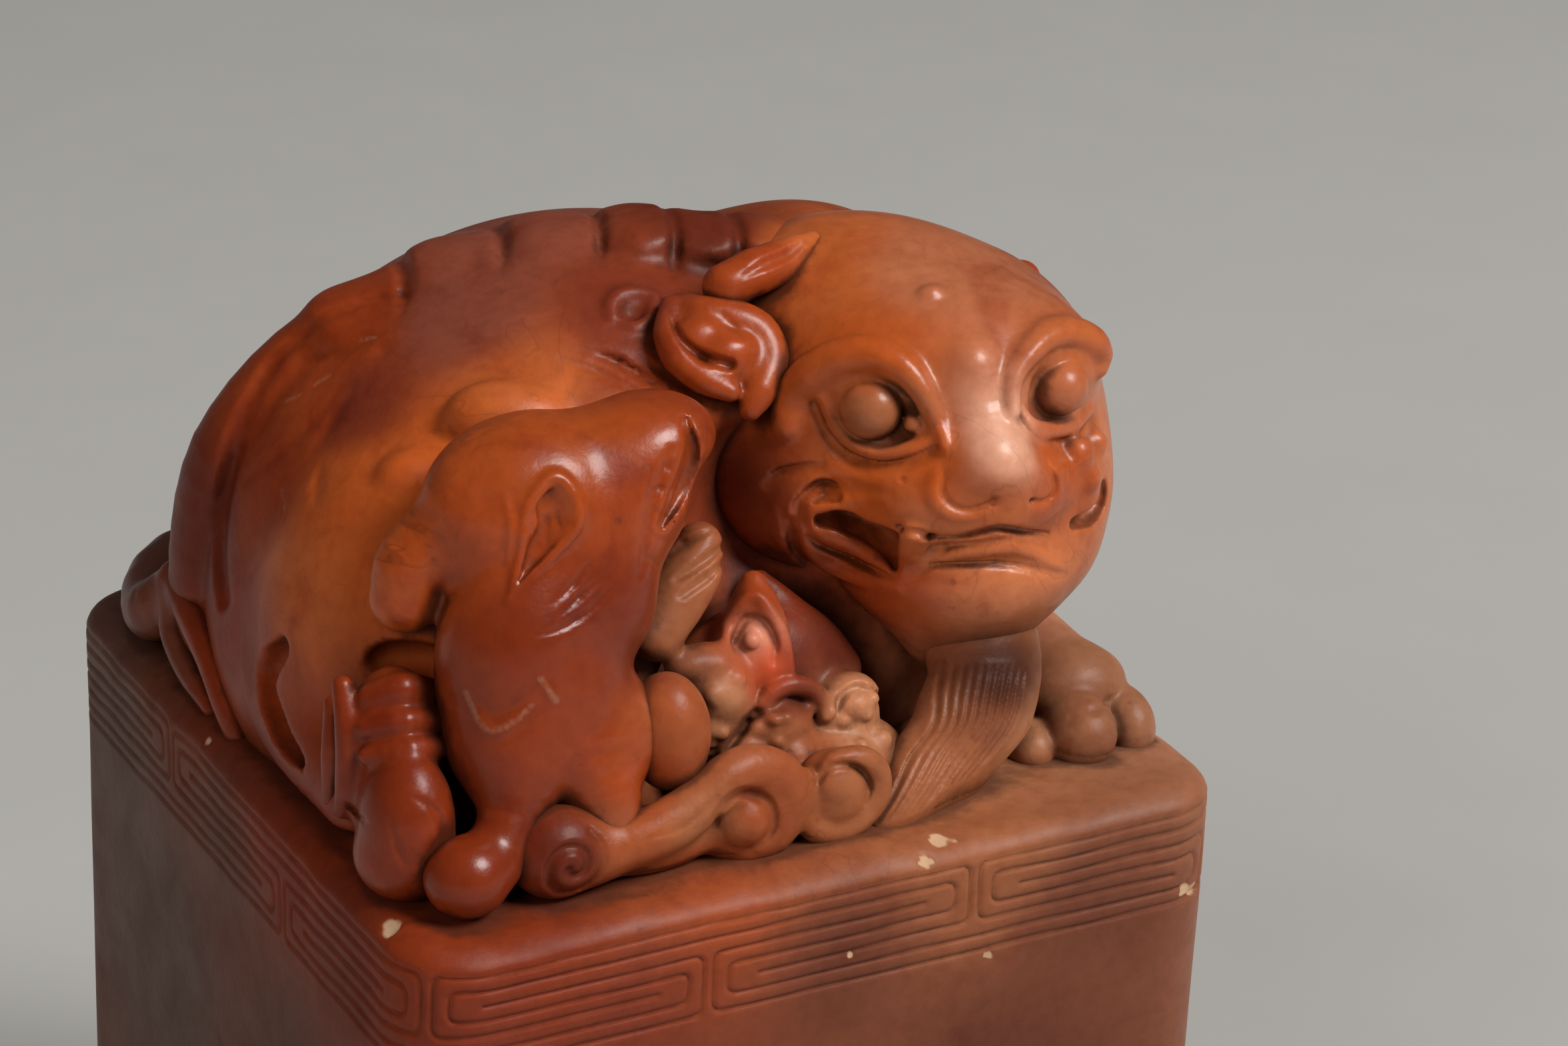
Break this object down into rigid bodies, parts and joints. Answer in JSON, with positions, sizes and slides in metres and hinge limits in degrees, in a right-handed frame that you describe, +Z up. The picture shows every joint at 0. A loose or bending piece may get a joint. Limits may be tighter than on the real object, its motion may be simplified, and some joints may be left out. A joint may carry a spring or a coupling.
{
  "type": "seal stamp",
  "caption": "Square carved stone seal: rounded block with a fret band under the rim, a flat printing face below, and a knob of a curled horned-brow beast with her cubs and cloud scrolls.",
  "frame": {"origin": "centre of the printing face at the bottom of the block", "axes": "+Z up from the printing face to the knob, -Y out of the front side that the beast's head looks over, +X towards her head"},
  "size_m": [0.04, 0.04, 0.0699],
  "materials": {
    "block_stone": "polished waxy stone, brown pink",
    "back_stone": "polished waxy stone, dark red brown",
    "flank_stone": "polished waxy stone, orange tan",
    "face_stone": "polished waxy stone, pinkish orange",
    "cub_stone": "polished waxy stone, orange red",
    "cloud_stone": "polished waxy stone, pale pink"
  },
  "bodies": {
    "root": {"seal_block": "block_stone", "trunk": "back_stone", "shoulder": "back_stone", "spine_ridge": "back_stone", "haunch": "flank_stone", "tail": "flank_stone", "head": "face_stone", "left_ear": "face_stone", "right_ear": "face_stone", "crest_curl": "back_stone", "brow_curl": "flank_stone", "nape_curl": "back_stone", "beard": "cloud_stone", "foreleg": "flank_stone", "forepaw": "cloud_stone", "cub_head": "cub_stone", "cub_trunk": "cub_stone", "cub_arm": "cub_stone", "cub_left_leg": "cub_stone", "cub_right_leg": "cub_stone", "cub_knee": "cloud_stone", "hind_foot": "flank_stone", "swirl": "cub_stone", "ribbon": "cloud_stone", "front_scroll": "cloud_stone", "beard_scroll": "cloud_stone", "hollow_cub": "cloud_stone", "hollow_ear": "cloud_stone"}
  },
  "joints": []
}
